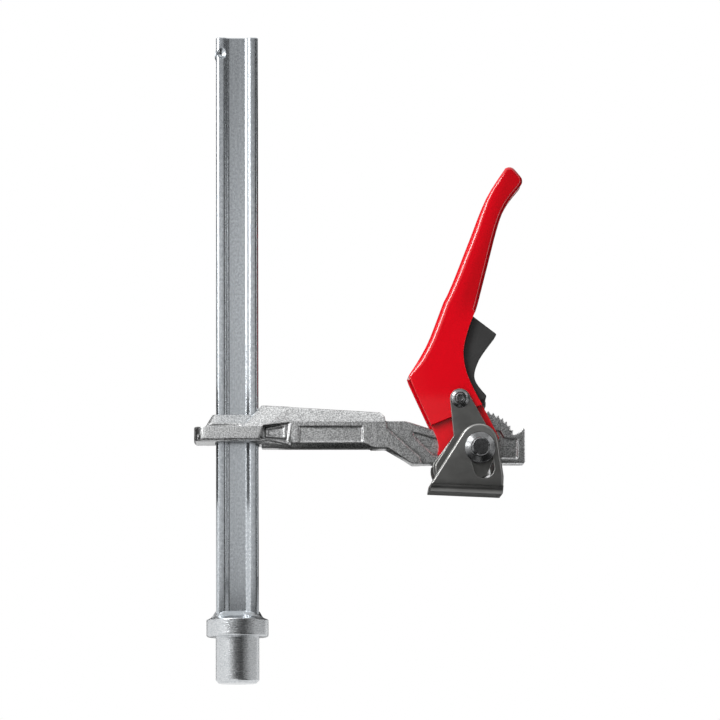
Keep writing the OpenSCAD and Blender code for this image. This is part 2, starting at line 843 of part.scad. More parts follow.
// Rings of six points round a path, skinned into one closed tube
module tube(path, d) {
  n = len(path);
  sides = 6;
  points = [for (i = [0:n - 1])
    let (
      t = unit(path[min(i + 1, n - 1)] - path[max(i - 1, 0)]),
      a = unit(cross(t, [0, 1, 0.001])),
      b = cross(t, a)
    )
    for (k = [0:sides - 1]) path[i] + d / 2 * (a * cos(60 * k) + b * sin(60 * k))];
  skin = [for (i = [0:n - 2], k = [0:sides - 1])
    let (p = i * sides + k, q = i * sides + (k + 1) % sides)
    each [[p, q, p + sides], [q, q + sides, p + sides]]];
  start = [for (k = [1:sides - 2]) [0, k + 1, k]];
  end = [for (k = [1:sides - 2]) [0, k, k + 1] + [1, 1, 1] * (n - 1) * sides];
  polyhedron(points, concat(skin, start, end));
}

// Least gap between two stretches of the wire that lie at least half a turn apart
spring_gap = let (p = spring_path())
  min([for (i = [0:len(p) - 2], j = [i + 4:1:len(p) - 1]) norm(p[i] - p[j])]) - wire_d;
echo(spring_gap = spring_gap);

module trigger_spring() {
  color("dimgray") at_rivet() tube(spring_path(), wire_d);
}

rail();
table_bolt();
weld_beads();
sliding_arm();
lever();
cam_plate_front();
cam_plate_rear();
spacer_front();
spacer_rear();
lever_rivet();
rivet_washer_front();
rivet_washer_rear();
trigger();
pawl();
pawl_pin();
trigger_spring();
pivot_pin();
pivot_washer_front();
pivot_washer_rear();
pressure_foot();
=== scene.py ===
# %% [markdown]
# # A lever clamp for a welding table
#
# A rail stands on a round table pin, a forged arm slides on the rail, and a red lever at the arm's
# end presses a sheet-metal foot on the work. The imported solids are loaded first. They set every
# size and place, so nothing below moves them. What follows gives them edges, finishes and light.

import math

import bmesh
import bpy
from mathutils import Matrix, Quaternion, Vector


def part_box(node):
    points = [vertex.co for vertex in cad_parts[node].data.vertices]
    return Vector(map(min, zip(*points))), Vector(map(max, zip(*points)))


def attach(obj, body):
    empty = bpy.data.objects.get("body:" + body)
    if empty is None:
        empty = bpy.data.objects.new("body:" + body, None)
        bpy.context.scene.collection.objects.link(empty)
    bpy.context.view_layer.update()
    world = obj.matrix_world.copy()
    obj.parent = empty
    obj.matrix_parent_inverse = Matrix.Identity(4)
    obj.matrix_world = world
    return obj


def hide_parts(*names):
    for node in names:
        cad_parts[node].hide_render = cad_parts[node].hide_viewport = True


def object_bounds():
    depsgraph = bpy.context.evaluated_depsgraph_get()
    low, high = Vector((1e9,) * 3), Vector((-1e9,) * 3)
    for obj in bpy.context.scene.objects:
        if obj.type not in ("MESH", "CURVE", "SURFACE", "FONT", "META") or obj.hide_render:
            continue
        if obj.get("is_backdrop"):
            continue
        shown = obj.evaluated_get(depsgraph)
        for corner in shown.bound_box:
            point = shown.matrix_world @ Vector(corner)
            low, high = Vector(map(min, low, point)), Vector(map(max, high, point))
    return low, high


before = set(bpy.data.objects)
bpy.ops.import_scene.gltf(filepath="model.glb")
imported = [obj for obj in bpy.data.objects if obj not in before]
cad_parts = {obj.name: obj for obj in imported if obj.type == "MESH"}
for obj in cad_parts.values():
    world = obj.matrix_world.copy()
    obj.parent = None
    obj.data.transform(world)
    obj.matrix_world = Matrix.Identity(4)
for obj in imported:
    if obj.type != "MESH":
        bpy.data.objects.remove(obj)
cad_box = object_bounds()
MM = 0.001

# %% [markdown]
# ## Camera
#
# The clamp was photographed from far away with a long lens, from a little below the table's height
# and a little to the left, so uprights stay nearly parallel and undersides just show. The camera
# aims at a point between rail and lever. Its lens comes from the distance and the size of the frame.

# %% camera
FRAME_PX = 720
SENSOR_MM = 36
PX_PER_MM = 1.536
AIM = Vector((79.9, 0, 180.2)) * MM
DISTANCE = 2700 * MM
AZIMUTH = math.radians(-2.37)
ELEVATION = math.radians(-7.40)
ROLL = math.radians(-0.28)

back = Vector((math.sin(AZIMUTH) * math.cos(ELEVATION),
               -math.cos(AZIMUTH) * math.cos(ELEVATION),
               math.sin(ELEVATION)))
bpy.ops.object.camera_add(location=AIM + back * DISTANCE)
camera = bpy.context.object
camera.rotation_mode = "QUATERNION"
camera.rotation_quaternion = (-back).to_track_quat("-Z", "Y")
camera.rotation_quaternion.rotate(Quaternion(back, ROLL))
camera.data.sensor_width = SENSOR_MM
camera.data.lens = SENSOR_MM * (PX_PER_MM * DISTANCE / MM) / FRAME_PX
camera.data.clip_start = 0.1
camera.data.clip_end = 50
bpy.context.scene.camera = camera
print("lens:", round(camera.data.lens, 1), "mm")

# %% [markdown]
# ## Helpers for materials
#
# Colours are written as the sRGB hex values that a paint card or a screen shows, and one function
# turns them to the linear values that the shader wants. Another adds a shader node with its
# settings, values and links, so that each material below reads as a list of what it is made of. A
# node that is linked as a whole gives its first output in use.

# %% helpers for materials
# Where the two colours of Blender's Mix node sit
MIX_A, MIX_B = 6, 7


def linear(hex_colour):
    """An sRGB hex colour such as #c81018 as linear RGBA."""
    parts = [int(hex_colour[i:i + 2], 16) / 255 for i in (1, 3, 5)]
    return [*(c / 12.92 if c <= 0.04045 else ((c + 0.055) / 1.055) ** 2.4 for c in parts), 1]


def output_of(source):
    """A socket as it is, or a node's first output in use."""
    if isinstance(source, bpy.types.NodeSocket):
        return source
    return next(socket for socket in source.outputs if socket.enabled)


def add_node(tree, kind, values=None, links=None, **settings):
    """Adds one node, sets its properties and input values, and links other nodes or sockets to it."""
    made = tree.nodes.new(kind)
    for name, value in settings.items():
        setattr(made, name, value)
    for name, value in (values or {}).items():
        made.inputs[name].default_value = value
    for name, source in (links or {}).items():
        tree.links.new(output_of(source), made.inputs[name])
    return made


def new_material(name):
    """A material with its node tree and the coordinates of the piece in metres."""
    material = bpy.data.materials.new(name)
    material.use_nodes = True
    print("material:", name)
    tree = material.node_tree
    return material, tree, add_node(tree, "ShaderNodeTexCoord").outputs["Object"]


def finish(tree, colour, roughness, normal, **constants):
    """Links what varies to the shader, and sets what is the same all over on its own sockets."""
    shader = tree.nodes["Principled BSDF"]
    for name, source in (("Base Color", colour), ("Roughness", roughness), ("Normal", normal)):
        tree.links.new(output_of(source), shader.inputs[name])
    for name, value in constants.items():
        shader.inputs[name.replace("_", " ")].default_value = value


def per_metre(feature_mm):
    """Noise scale that gives features of about this size."""
    return 1 / (feature_mm * MM)


# %% [markdown]
# ## Drawn and zinc-plated steel
#
# The rail is a bar of steel pulled through a die and then zinc plated. Drawing leaves faint lines
# along its length, and the plating gives a mottle of small lighter spots with a cool grey tone. The
# lines are really finer than a pixel, so they are drawn at 0.7 mm to show at all.

# %% drawn steel
drawn_steel, tree, place = new_material("drawn steel, zinc plated")
along = add_node(tree, "ShaderNodeMapping", {"Scale": (1, 1, 0.03)}, {"Vector": place})
lines = add_node(tree, "ShaderNodeTexNoise", {"Scale": per_metre(0.7), "Detail": 2}, {"Vector": along})
spots = add_node(tree, "ShaderNodeTexNoise", {"Scale": per_metre(1.5), "Detail": 3, "Roughness": 0.65},
                 {"Vector": place})
share = add_node(tree, "ShaderNodeMapRange", {"From Min": 0.36, "From Max": 0.70}, {"Value": spots})
tone = add_node(tree, "ShaderNodeMix", {MIX_A: linear("#adb2b7"), MIX_B: linear("#ccd1d5")}, {0: share},
                data_type="RGBA")
gloss = add_node(tree, "ShaderNodeMapRange", {"To Min": 0.20, "To Max": 0.32}, {"Value": lines})
grain = add_node(tree, "ShaderNodeBump", {"Distance": 0.003 * MM}, {"Height": spots})
finish(tree, tone, gloss, grain, Metallic=1)

# %% [markdown]
# ## Turned and zinc-plated steel
#
# The bolt was turned on a lathe, so its marks run round it. The plating on the coarse turned face
# looks grainy and satin. Noise squeezed along the bolt's axis gives the turning marks, and a noise
# of 0.9 mm, coarser than the real grain so that it shows, tilts the skin here and there.

# %% turned steel
turned_steel, tree, place = new_material("turned steel, zinc plated")
around = add_node(tree, "ShaderNodeMapping", {"Scale": (0.06, 0.06, 1)}, {"Vector": place})
marks = add_node(tree, "ShaderNodeTexNoise", {"Scale": per_metre(0.6), "Detail": 2}, {"Vector": around})
speckle = add_node(tree, "ShaderNodeTexNoise", {"Scale": per_metre(0.9), "Detail": 1}, {"Vector": place})
share = add_node(tree, "ShaderNodeMapRange", {"From Min": 0.35, "From Max": 0.65}, {"Value": speckle})
tone = add_node(tree, "ShaderNodeMix", {MIX_A: linear("#bfc3c6"), MIX_B: linear("#d8dadc")}, {0: share},
                data_type="RGBA")
gloss = add_node(tree, "ShaderNodeMapRange", {"To Min": 0.22, "To Max": 0.34}, {"Value": marks})
fine = add_node(tree, "ShaderNodeBump", {"Distance": 0.13 * MM}, {"Height": speckle})
ridges = add_node(tree, "ShaderNodeBump", {"Distance": 0.004 * MM}, {"Height": marks, "Normal": fine})
finish(tree, tone, gloss, ridges, Metallic=1)

# %% [markdown]
# ## Forged, blasted and zinc-plated steel
#
# The arm was forged, blasted clean with grit and plated. Blasting leaves thousands of small pits,
# each with its own slope, so under a lamp the skin sparkles. Two noises, of 0.8 mm and 4 mm, tilt
# the skin. The finer one also varies the grey at random, and the pits' floors, where it is low, are
# painted darker as shade. The inner corners are painted dark as shade too.

# %% forged steel
CORNER_SHADE_REACH = 4 * MM


def paint_corner_shade(tree, colour, dark):
    """Paints shade into the inner corners of a piece, going over to a dark colour there."""
    corner = add_node(tree, "ShaderNodeAmbientOcclusion", {"Distance": CORNER_SHADE_REACH},
                      samples=8, only_local=True)
    openness = add_node(tree, "ShaderNodeMapRange", {"From Min": 0.40, "From Max": 0.92},
                        {"Value": corner.outputs["AO"]})
    return add_node(tree, "ShaderNodeMix", {MIX_A: linear(dark)}, {0: openness, MIX_B: colour},
                    data_type="RGBA")


forged_steel, tree, place = new_material("forged steel, blasted and zinc plated")
pits = add_node(tree, "ShaderNodeTexNoise", {"Scale": per_metre(0.8), "Detail": 1}, {"Vector": place})
skin = add_node(tree, "ShaderNodeTexNoise", {"Scale": per_metre(4), "Detail": 2}, {"Vector": place})
# The fine noise varies the grey at random, and paints the pits' floors, where it is low, darker as shade
share = add_node(tree, "ShaderNodeMapRange", {"From Min": 0.36, "From Max": 0.64}, {"Value": pits})
zinc = add_node(tree, "ShaderNodeMix", {MIX_A: linear("#a0a1a2"), MIX_B: linear("#eaebeb")}, {0: share},
                data_type="RGBA")
gloss = add_node(tree, "ShaderNodeMapRange", {"To Min": 0.24, "To Max": 0.36}, {"Value": skin})
uneven = add_node(tree, "ShaderNodeBump", {"Distance": 0.15 * MM}, {"Height": skin})
grit = add_node(tree, "ShaderNodeBump", {"Distance": 0.10 * MM}, {"Height": pits, "Normal": uneven})
# Painted shade: the arm's inner corners go over to dark grey
finish(tree, paint_corner_shade(tree, zinc, "#3c3c3c"), gloss, grit, Metallic=1)

# %% [markdown]
# ## Red gloss enamel
#
# The lever is dipped and baked. Enamel is a coloured film under a clear, hard, glossy face, so the
# shader gets a coat, and the film below it hardly shines by itself. The film flows before it sets,
# which leaves a faint unevenness of some millimetres. The upper front of the grip is painted a deeper
# red as shade, and the inner corners are painted dark as shade.

# %% red enamel
LEVER_LEAN = math.radians(-20)
# Where the painted shade on the grip's upper front comes in: by height, and across the leaning lever
GRIP_FROM, GRIP_FULL = 200 * MM, 225 * MM
FRONT_FROM, FRONT_FULL = 57 * MM, 66 * MM

red_enamel, tree, place = new_material("red gloss enamel on sheet steel")
flow = add_node(tree, "ShaderNodeTexNoise", {"Scale": per_metre(6), "Detail": 1}, {"Vector": place})
leaning = add_node(tree, "ShaderNodeMapping", {"Rotation": (0, LEVER_LEAN, 0)}, {"Vector": place})
across = add_node(tree, "ShaderNodeSeparateXYZ", links={"Vector": leaning})
height = add_node(tree, "ShaderNodeSeparateXYZ", links={"Vector": place})
# Painted shade: a deeper red over the upper front of the grip, added to the flow noise's random tone
upper = add_node(tree, "ShaderNodeMapRange", {"From Min": GRIP_FROM, "From Max": GRIP_FULL},
                 {"Value": height.outputs["Z"]}, interpolation_type="SMOOTHSTEP")
front = add_node(tree, "ShaderNodeMapRange", {"From Min": FRONT_FROM, "From Max": FRONT_FULL},
                 {"Value": across.outputs["X"]}, interpolation_type="SMOOTHSTEP")
grip_front_shade = add_node(tree, "ShaderNodeMath", links={0: upper, 1: front}, operation="MULTIPLY")
share = add_node(tree, "ShaderNodeMath", {1: 0.12}, {0: flow, 2: grip_front_shade}, operation="MULTIPLY_ADD")
film = add_node(tree, "ShaderNodeMix", {MIX_A: linear("#d20818"), MIX_B: linear("#b60a15")}, {0: share},
                data_type="RGBA")
gloss = add_node(tree, "ShaderNodeMapRange", {"To Min": 0.36, "To Max": 0.44}, {"Value": flow})
peel = add_node(tree, "ShaderNodeBump", {"Distance": 0.004 * MM}, {"Height": flow})
# Painted shade in the inner corners, over the film's colour
finish(tree, paint_corner_shade(tree, film, "#3c0408"), gloss, peel, Specular_IOR_Level=0,
       Coat_Weight=1, Coat_Roughness=0.05, Coat_IOR=1.6)

# %% [markdown]
# ## Dark zinc on rolled sheet
#
# The cams and the pawl are cut from rolled sheet with a dark zinc finish: a satin, slightly brown
# grey. Rolling leaves a faint grain along the sheet, drawn here at 1 mm so that it shows.

# %% dark sheet
def rolled_grain(tree, place):
    """The grain that rolling leaves along a sheet."""
    rolled = add_node(tree, "ShaderNodeMapping", {"Scale": (0.12, 1, 1)}, {"Vector": place})
    return add_node(tree, "ShaderNodeTexNoise", {"Scale": per_metre(1), "Detail": 3, "Roughness": 0.6},
                    {"Vector": rolled})


dark_sheet, tree, place = new_material("rolled sheet, dark zinc")
rolling = rolled_grain(tree, place)
cloud = add_node(tree, "ShaderNodeTexNoise", {"Scale": per_metre(9), "Detail": 3}, {"Vector": place})
share = add_node(tree, "ShaderNodeMapRange", {"From Min": 0.3, "From Max": 0.7}, {"Value": cloud})
tone = add_node(tree, "ShaderNodeMix", {MIX_A: linear("#8e8e8c"), MIX_B: linear("#a2a2a0")}, {0: share},
                data_type="RGBA")
gloss = add_node(tree, "ShaderNodeMapRange", {"To Min": 0.24, "To Max": 0.36}, {"Value": rolling})
lay = add_node(tree, "ShaderNodeBump", {"Distance": 0.01 * MM}, {"Height": rolling})
finish(tree, tone, gloss, lay, Metallic=1)

# %% [markdown]
# ## Dark zinc, with painted light and shade by height
#
# The foot has the same sheet and finish as the cams. Its tone goes by height: painted shade keeps
# it dark at the bend, and a painted highlight brightens it towards the top of the ears. A noise of
# 7 mm varies the tone at random.

# %% sheet with painted light
BEND_LOW, BEND_HIGH = 93 * MM, 101 * MM
EAR_MIDDLE, EAR_TOP = 114 * MM, 138 * MM

sheet_with_painted_light, tree, place = new_material("rolled sheet, dark zinc, painted lighter above")
rolling = rolled_grain(tree, place)
cloud = add_node(tree, "ShaderNodeTexNoise", {"Scale": per_metre(7), "Detail": 3}, {"Vector": place})
height = add_node(tree, "ShaderNodeSeparateXYZ", links={"Vector": place})
# Painted light by height: shade at the bend, and a highlight towards the top of the ears
painted_bend_shade = add_node(tree, "ShaderNodeMapRange",
                      {"From Min": BEND_LOW, "From Max": BEND_HIGH, "To Min": -0.02, "To Max": 0.30},
                      {"Value": height.outputs["Z"]})
painted_ear_top_light = add_node(tree, "ShaderNodeMapRange",
                  {"From Min": EAR_MIDDLE, "From Max": EAR_TOP, "To Min": 0, "To Max": 0.26},
                  {"Value": height.outputs["Z"]})
painted_light_by_height = add_node(tree, "ShaderNodeMath", links={0: painted_ear_top_light, 1: painted_bend_shade}, operation="ADD")
share = add_node(tree, "ShaderNodeMath", {1: 0.20}, {0: cloud, 2: painted_light_by_height}, operation="MULTIPLY_ADD")
tone = add_node(tree, "ShaderNodeMix", {MIX_A: linear("#595958"), MIX_B: linear("#c4c4c2")}, {0: share},
                data_type="RGBA")
gloss = add_node(tree, "ShaderNodeMapRange", {"To Min": 0.28, "To Max": 0.42}, {"Value": rolling})
lay = add_node(tree, "ShaderNodeBump", {"Distance": 0.01 * MM}, {"Height": rolling})
finish(tree, tone, gloss, lay, Metallic=1)

# %% [markdown]
# ## Dark zinc on turned pins
#
# Pins and washers have the dark finish on a smoother face, so they are glossier. Their turning marks
# run round the pins, which lie along Y, so the noise is drawn out along the other two axes.

# %% turned pins
pin_steel, tree, place = new_material("turned pin, dark zinc")
lathe = add_node(tree, "ShaderNodeMapping", {"Scale": (0.1, 1, 0.1)}, {"Vector": place})
rings = add_node(tree, "ShaderNodeTexNoise", {"Scale": per_metre(0.5), "Detail": 2}, {"Vector": lathe})
patina = add_node(tree, "ShaderNodeTexNoise", {"Scale": per_metre(2.5), "Detail": 3}, {"Vector": place})
share = add_node(tree, "ShaderNodeMapRange", {"From Min": 0.3, "From Max": 0.7}, {"Value": patina})
tone = add_node(tree, "ShaderNodeMix", {MIX_A: linear("#707172"), MIX_B: linear("#8c8d8e")}, {0: share},
                data_type="RGBA")
gloss = add_node(tree, "ShaderNodeMapRange", {"To Min": 0.20, "To Max": 0.30}, {"Value": patina})
ridges = add_node(tree, "ShaderNodeBump", {"Distance": 0.008 * MM}, {"Height": rings})
finish(tree, tone, gloss, ridges, Metallic=1)

# %% [markdown]
# ## Black moulded plastic
#
# The trigger is glass-filled nylon from a spark-eroded mould, which gives a fine matt grain. It is
# drawn at 0.8 mm, coarser than it is, so that it shows.

# %% black plastic
black_plastic, tree, place = new_material("black nylon, moulded")
erosion = add_node(tree, "ShaderNodeTexNoise", {"Scale": per_metre(0.8), "Detail": 2}, {"Vector": place})
melt = add_node(tree, "ShaderNodeTexNoise", {"Scale": per_metre(12), "Detail": 2}, {"Vector": place})
tone = add_node(tree, "ShaderNodeMix", {MIX_A: linear("#242424"), MIX_B: linear("#2e2e2e")}, {0: melt},
                data_type="RGBA")
gloss = add_node(tree, "ShaderNodeMapRange", {"To Min": 0.42, "To Max": 0.56}, {"Value": erosion})
grain = add_node(tree, "ShaderNodeBump", {"Distance": 0.02 * MM}, {"Height": erosion})
finish(tree, tone, gloss, grain)

# %% [markdown]
# ## Spring wire and weld metal
#
# The spring is drawn wire, grey and fairly bright. The weld at the rail's foot froze in ripples of
# some millimetres and was plated with the rail, so it is bright, with a noise for the ripples.

# %% wire and weld
spring_wire, tree, place = new_material("drawn spring wire")
draw = add_node(tree, "ShaderNodeTexNoise", {"Scale": per_metre(0.7), "Detail": 2}, {"Vector": place})
tone = add_node(tree, "ShaderNodeMix", {MIX_A: linear("#77787a"), MIX_B: linear("#a0a1a3")}, {0: draw},
                data_type="RGBA")
gloss = add_node(tree, "ShaderNodeMapRange", {"To Min": 0.2, "To Max": 0.35}, {"Value": draw})
grain = add_node(tree, "ShaderNodeBump", {"Distance": 0.01 * MM}, {"Height": draw})
finish(tree, tone, gloss, grain, Metallic=1)

weld_metal, tree, place = new_material("weld bead, zinc plated")
ripple = add_node(tree, "ShaderNodeTexNoise", {"Scale": per_metre(2.5), "Detail": 3, "Roughness": 0.6},
                  {"Vector": place})
tone = add_node(tree, "ShaderNodeMix", {MIX_A: linear("#c6cacd"), MIX_B: linear("#eceef0")}, {0: ripple},
                data_type="RGBA")
gloss = add_node(tree, "ShaderNodeMapRange", {"To Min": 0.26, "To Max": 0.42}, {"Value": ripple})
waves = add_node(tree, "ShaderNodeBump", {"Distance": 0.15 * MM}, {"Height": ripple})
finish(tree, tone, gloss, waves, Metallic=1)

# %% [markdown]
# ## Working on copies of the solids
#
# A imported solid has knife-sharp edges, and real edges never are: a small round along each one
# catches the light and makes a piece look solid. The solids stay as they are, so each piece starts
# as a copy. Its triangles are merged and flat ones joined, and then its edges can be bevelled.

# %% helpers for pieces
def pick_only(piece):
    """Makes one object the only selected and the active one."""
    bpy.ops.object.select_all(action="DESELECT")
    piece.select_set(True)
    bpy.context.view_layer.objects.active = piece


def copy_of(node):
    """A new piece with a merged copy of a node's mesh, flat faces joined."""
    piece = bpy.data.objects.new(node + "_finished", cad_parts[node].data.copy())
    bpy.context.scene.collection.objects.link(piece)
    pick_only(piece)
    bpy.ops.object.mode_set(mode="EDIT")
    bpy.ops.mesh.select_all(action="SELECT")
    bpy.ops.mesh.remove_doubles(threshold=0.002 * MM)
    bpy.ops.mesh.dissolve_limited(angle_limit=math.radians(0.4))
    bpy.ops.object.mode_set(mode="OBJECT")
    return piece


def use_modifier(piece, kind, **settings):
    """Adds a modifier with its settings and applies it."""
    pick_only(piece)
    made = piece.modifiers.new(kind.title(), kind)
    for name, value in settings.items():
        setattr(made, name, value)
    bpy.ops.object.modifier_apply(modifier=made.name)


def round_edges(piece, width_mm, segments=3, sharper_than=32):
    """Rounds every edge that turns by more than this angle."""
    use_modifier(piece, "BEVEL", width=width_mm * MM, segments=segments, limit_method="ANGLE",
                 angle_limit=math.radians(sharper_than), use_clamp_overlap=False,
                 miter_outer="MITER_ARC")


def dress(piece, node, body, material, slot, smooth=35, flat_faces=True):
    """Smooth shading that keeps flat faces flat, one material, and the piece's place in the frame."""
    pick_only(piece)
    bpy.ops.object.shade_smooth_by_angle(angle=math.radians(smooth))
    if flat_faces:
        use_modifier(piece, "WEIGHTED_NORMAL", keep_sharp=True, weight=90)
    piece.data.materials.clear()
    piece.data.materials.append(material)
    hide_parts(node)
    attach(piece, body)
    print(piece.name, "has", len(piece.data.polygons), "faces")


# %% [markdown]
# ## Plain pieces with rounded edges
#
# Bolt, cams, pins, pawl and trigger keep the solid's shape. They only need the small rounds that
# turning, pressing or moulding leaves: about 0.2 mm on a turned edge and nearly 1 mm on the trigger.

# %% pieces with small rounds
SMALL_ROUNDS = [
    ("table_bolt", "rail_assembly", turned_steel, "bolt_steel", 0.5),
    ("cam_plate_front", "lever_assembly", dark_sheet, "dark_sheet", 0.35),
    ("cam_plate_rear", "lever_assembly", dark_sheet, "dark_sheet", 0.35),
    ("spacer_front", "lever_assembly", pin_steel, "pin_steel", 0.2),
    ("spacer_rear", "lever_assembly", pin_steel, "pin_steel", 0.2),
    ("pawl", "trigger_assembly", dark_sheet, "dark_sheet", 0.25),
    ("pawl_pin", "trigger_assembly", pin_steel, "pin_steel", 0.2),
    ("pivot_pin", "foot_pivot", pin_steel, "pin_steel", 0.25),
    ("trigger", "trigger_assembly", black_plastic, "black_plastic", 0.9),
]
for node, body, material, slot, width in SMALL_ROUNDS:
    piece = copy_of(node)
    round_edges(piece, width)
    dress(piece, node, body, material, slot)

# %% [markdown]
# ## Choosing edges and cutting hollows
#
# By hand one would click on the edges to round. A script tests each edge instead, by its place, its
# length or the faces beside it, and selects and bevels those that pass. A hollow that a tool pressed
# in has a round floor, so a ball is cut out of the piece with a Boolean modifier.

# %% helpers for edges and hollows
def turn_of(edge):
    """How far an edge turns, in degrees."""
    return math.degrees(edge.calc_face_angle(0))


def select_where(piece, kind, wanted):
    """Selects, in edit mode, the faces or edges that a test accepts, and counts them."""
    bpy.ops.mesh.select_mode(type=kind)
    bpy.ops.mesh.select_all(action="DESELECT")
    mesh = bmesh.from_edit_mesh(piece.data)
    found = [item for item in (mesh.faces if kind == "FACE" else mesh.edges) if wanted(item)]
    for item in found:
        item.select_set(True)
    bmesh.update_edit_mesh(piece.data)
    return len(found)


def bevel_where(piece, wanted, width_mm, segments=4):
    """Selects the edges that a test accepts, and bevels them as by hand."""
    pick_only(piece)
    bpy.ops.object.mode_set(mode="EDIT")
    count = select_where(piece, "EDGE", lambda edge: len(edge.link_faces) == 2 and wanted(edge))
    if count:
        bpy.ops.mesh.bevel(offset=width_mm * MM, segments=segments, affect="EDGES",
                           clamp_overlap=False)
    bpy.ops.object.mode_set(mode="OBJECT")
    print(piece.name, "has", count, "edges bevelled by", width_mm, "mm")


def cut_ball(piece, place_mm, radii_mm, segments):
    """Cuts a ball, or one drawn out along an axis, from a piece."""
    bpy.ops.object.select_all(action="DESELECT")
    bpy.ops.mesh.primitive_uv_sphere_add(
        segments=segments, ring_count=segments // 2, radius=1,
        location=[v * MM for v in place_mm], scale=[v * MM for v in radii_mm])
    ball = bpy.context.object
    use_modifier(piece, "BOOLEAN", operation="DIFFERENCE", object=ball, solver="EXACT")
    bpy.data.objects.remove(ball)


# %% [markdown]
# ## Rail
#
# The rail's long edges and the slopes of its grooves are already round in the solid, so smooth
# shading is enough along it. Only the sawn top gets a small bevel. Near the top a punch with a round
# nose was driven in, to raise the stop for the arm, so a ball is cut out there.

# %% rail
PUNCH_X, PUNCH_Y, PUNCH_DROP = -9.8, -9.0, 10.5
PUNCH_RADIUS = 4.4

rail = copy_of("rail")
rail_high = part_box("rail")[1]
cut_ball(rail, (PUNCH_X, PUNCH_Y, rail_high.z / MM - PUNCH_DROP), [PUNCH_RADIUS] * 3, segments=64)


def sawn_edge(edge):
    """True for the sharp edges round the rail's top end."""
    return turn_of(edge) > 60 and all(v.co.z > rail_high.z - 0.01 * MM for v in edge.verts)


bevel_where(rail, sawn_edge, 0.5, 2)
dress(rail, "rail", "rail_assembly", drawn_steel, "rail_steel", smooth=30)

# %% [markdown]
# ## Forged arm
#
# A forging has no sharp edge anywhere: the dies are rounded so that the hot steel flows. The edges
# that are rounder than the rest are bevelled first: the long lower ones, the bar's top and the end
# of the eye's roof. A long thin ball leaves the crease at the roof's foot. Then the arm is remeshed
# into small even faces and smoothed a few times, which rounds all of its edges at once, by about a
# millimetre, as a forging die does.

# %% forged arm
def lower_edge(edge):
    """True for the long edges between an upright side and the underside."""
    sides = [f.normal for f in edge.link_faces]
    upright_side = max(abs(n.y) for n in sides) > 0.95
    return edge.calc_length() > 40 * MM and upright_side and min(n.z for n in sides) < -0.9


def roof_end(edge):
    """True for the leaning edges at the left end of the eye's roof."""
    at_left = max(v.co.x for v in edge.verts) < -15 * MM
    return at_left and 12.5 * MM < edge.calc_length() < 13.5 * MM


def top_edge(edge):
    """True for the long edges between the bar's flat top and its sloping sides."""
    rises = sorted(f.normal.z for f in edge.link_faces)
    return edge.calc_length() > 60 * MM and rises[1] > 0.95 and 0.3 < rises[0] < 0.9


CREASE_X, CREASE_Y, CREASE_Z = -10, 15, 136
CREASE_RADII = (14, 1.5, 1.5)

arm = copy_of("sliding_arm")
for wanted, width in ((lower_edge, 2.4), (roof_end, 3), (top_edge, 1.6)):
    bevel_where(arm, wanted, width)
for side in (-1, 1):
    cut_ball(arm, (CREASE_X, side * CREASE_Y, CREASE_Z), CREASE_RADII, segments=48)
arm.data.remesh_voxel_size = 0.53 * MM
pick_only(arm)
bpy.ops.object.voxel_remesh()
use_modifier(arm, "SMOOTH", factor=0.5, iterations=6)
dress(arm, "sliding_arm", "arm", forged_steel, "forged_steel", smooth=60, flat_faces=False)

# %% [markdown]
# ## Folded lever
#
# The lever is one sheet folded to a channel, with lips rolled in along its front. A fold has a round
# outside, here about 4 mm, while a cut edge is only broken. First each outer side is made of two
# simple faces, cut level at the rivet, so that no stray edge stops a round. Then every edge gets a
# weight: 1 along the folded back, less along the lips and where a fold runs out at the tip or at the
# back corner, and little or none at a cut edge. One bevel follows the weights.

# %% folded lever
LEVER_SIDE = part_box("lever")[1].y
RIVET_Z = sum(corner.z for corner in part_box("lever_rivet")) / 2
BACK_LOW = 168.5 * MM
OPEN_BACK_X = 126 * MM
CUT_WIDE, BACK_WIDE = 4 * MM, 20 * MM
TIP_FROM, TIP_LENGTH = 262 * MM, 28 * MM
CORNER_TOP, CORNER_LENGTH = 180 * MM, 10 * MM
FOLD_RADIUS = 4.2 * MM
# Shares of that radius: at a cut edge, along a lip, and what the tip and the corner take off
CUT_SHARE, LIP_SHARE = 0.26, 0.8
BACK_TIP_LOSS, LIP_TIP_LOSS, CORNER_LOSS = 0.4, 0.2, 0.62


def share_of(part, length):
    """How much of a length is passed, from 0 to 1."""
    return min(1, max(0, part / length))


def on_side(face):
    """True for the faces of the lever's two outer sides."""
    offset = abs(abs(face.calc_center_median().y) - LEVER_SIDE)
    return abs(face.normal.y) > 0.999 and offset < 0.05 * MM


def needless(edge):
    """True for edges inside an outer side, apart from the level cut at the rivet."""
    level = all(abs(v.co.z - RIVET_Z) < 0.01 * MM for v in edge.verts)
    return not level and len(edge.link_faces) == 2 and all(on_side(f) for f in edge.link_faces)


def fold_weight(edge):
    """How round an edge of an outer side is bent, as a share of the fold radius."""
    if turn_of(edge) < 40 or any(abs(abs(v.co.y) - LEVER_SIDE) > 0.05 * MM for v in edge.verts):
        return 0
    height = (edge.verts[0].co.z + edge.verts[1].co.z) / 2
    spans = [[v.co.y for v in face.verts] for face in edge.link_faces]
    across = max(max(span) - min(span) for span in spans)
    if across < CUT_WIDE:
        return CUT_SHARE if max(v.co.x for v in edge.verts) < OPEN_BACK_X else 0
    if height < BACK_LOW:
        return 0
    near_tip = share_of(height - TIP_FROM, TIP_LENGTH)
    near_corner = share_of(CORNER_TOP - height, CORNER_LENGTH)
    if across > BACK_WIDE:
        return 1 - BACK_TIP_LOSS * near_tip - CORNER_LOSS * near_corner
    return LIP_SHARE - LIP_TIP_LOSS * near_tip


lever = copy_of("lever")
pick_only(lever)
bpy.ops.object.mode_set(mode="EDIT")
select_where(lever, "FACE", on_side)
bpy.ops.mesh.bisect(plane_co=(0, 0, RIVET_Z), plane_no=(0, 0, 1))
select_where(lever, "EDGE", needless)
bpy.ops.mesh.dissolve_edges(use_verts=False)
bpy.ops.object.mode_set(mode="OBJECT")

